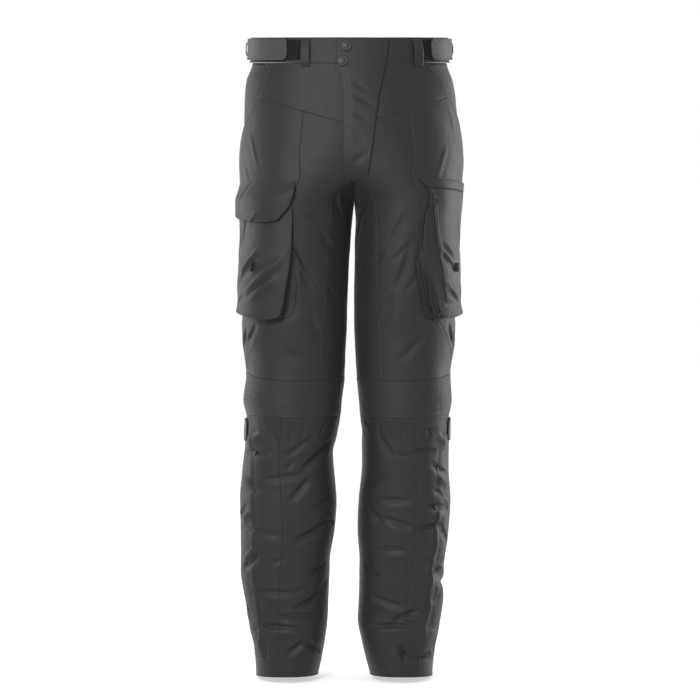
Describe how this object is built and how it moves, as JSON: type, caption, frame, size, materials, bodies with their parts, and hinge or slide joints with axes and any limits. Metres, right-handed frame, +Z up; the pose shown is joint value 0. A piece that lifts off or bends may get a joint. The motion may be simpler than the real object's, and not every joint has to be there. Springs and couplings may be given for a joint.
{
  "type": "motorcycle trousers",
  "caption": "Worn-form textile riding trousers with ribbed knees, cargo pockets, snap fly, belt loops and adjustable waist, hollow and open at the waist and hems.",
  "frame": {"origin": "centre of the waist ring, at mid height of the waistband, where the wearer holds the trousers", "axes": "+Z up along the body, -Y the front of the wearer, +X the wearer's left"},
  "size_m": [0.3772, 0.2755, 1.0658],
  "materials": {
    "shell_cloth": "dark charcoal woven textile with a low satin sheen",
    "ribbed_cloth": "dark charcoal ribbed stretch cloth",
    "tab_cloth": "lighter grey satin cloth",
    "hook_tape": "black hook tape",
    "webbing": "black woven webbing",
    "piping": "light grey piping with a soft sheen",
    "snap_button": "dark grey matt plastic",
    "zip": "black zip coil on woven tape"
  },
  "bodies": {
    "root": {"waistband_front_right": "shell_cloth", "waistband_front_left": "shell_cloth", "waistband_back": "shell_cloth", "fly_flap": "shell_cloth", "snap_upper": "snap_button", "snap_lower": "snap_button", "waist_tab_right": "tab_cloth", "waist_tab_left": "tab_cloth", "hook_strip_right": "hook_tape", "hook_strip_left": "hook_tape", "tab_pull_right": "webbing", "tab_pull_left": "webbing", "waist_piping_right": "piping", "waist_piping_left": "piping", "belt_loop_front_right": "shell_cloth", "belt_loop_front_left": "shell_cloth", "belt_loop_back_right": "shell_cloth", "belt_loop_back_left": "shell_cloth", "belt_loop_back": "shell_cloth", "front_yoke_right": "shell_cloth", "front_yoke_left": "shell_cloth", "hip_pocket_facing_right": "shell_cloth", "hip_pocket_facing_left": "shell_cloth", "front_thigh_right": "shell_cloth", "front_thigh_left": "shell_cloth", "inner_thigh_right": "shell_cloth", "inner_thigh_left": "shell_cloth", "side_thigh_right": "shell_cloth", "side_thigh_left": "shell_cloth", "seat_right": "shell_cloth", "seat_left": "shell_cloth", "cargo_pocket_right": "shell_cloth", "cargo_pocket_left": "shell_cloth", "pocket_flap_right": "shell_cloth", "pocket_top_left": "shell_cloth", "pocket_zip_left": "zip", "pocket_tag_right": "webbing", "pocket_tag_left": "webbing", "knee_ribs_right": "ribbed_cloth", "knee_ribs_left": "ribbed_cloth", "back_knee_right": "shell_cloth", "back_knee_left": "shell_cloth", "knee_tab_right": "tab_cloth", "knee_tab_left": "tab_cloth", "inner_shin_right": "shell_cloth", "inner_shin_left": "shell_cloth", "outer_shin_right": "shell_cloth", "outer_shin_left": "shell_cloth", "calf_right": "shell_cloth", "calf_left": "shell_cloth", "storm_flap_right": "shell_cloth", "storm_flap_left": "shell_cloth"}
  },
  "joints": []
}
